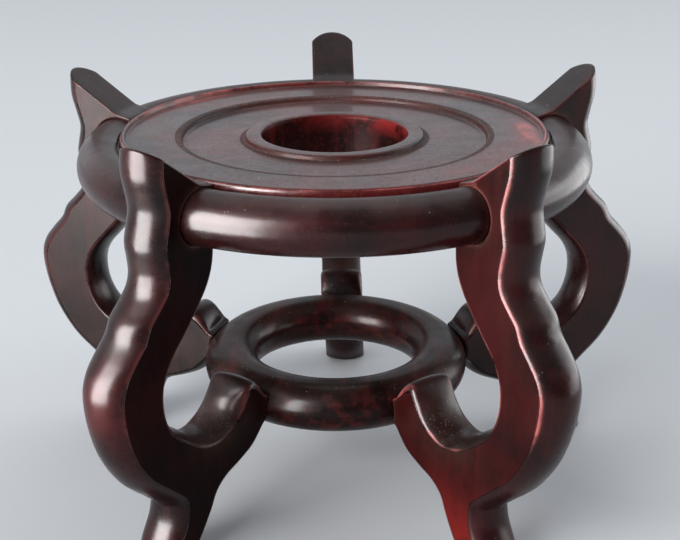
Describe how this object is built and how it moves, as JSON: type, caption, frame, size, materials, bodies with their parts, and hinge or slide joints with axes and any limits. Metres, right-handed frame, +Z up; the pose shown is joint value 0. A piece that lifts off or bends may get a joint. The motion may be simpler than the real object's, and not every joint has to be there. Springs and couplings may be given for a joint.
{
  "type": "chinese hardwood stand",
  "caption": "Round hardwood display stand for a bowl, with a turned and pierced top, scrolled legs that clasp its rim and rise into spurs, and a stretcher ring.",
  "frame": {"origin": "on the floor, under the middle of the round top", "axes": "+Z up through the middle of the top, +Y towards the back leg, so the open side between the two front legs faces -Y"},
  "size_m": [0.3267, 0.3135, 0.2057],
  "materials": {
    "lacquered_hardwood": "gloss lacquer, worn on the edges",
    "dowel_wood": "bare"
  },
  "bodies": {
    "root": {"top_board": "lacquered_hardwood", "leg_back": "lacquered_hardwood", "leg_left_back": "lacquered_hardwood", "leg_left_front": "lacquered_hardwood", "leg_right_front": "lacquered_hardwood", "leg_right_back": "lacquered_hardwood", "stretcher_ring": "lacquered_hardwood", "rim_dowels": "dowel_wood", "ring_dowels": "dowel_wood"}
  },
  "joints": []
}
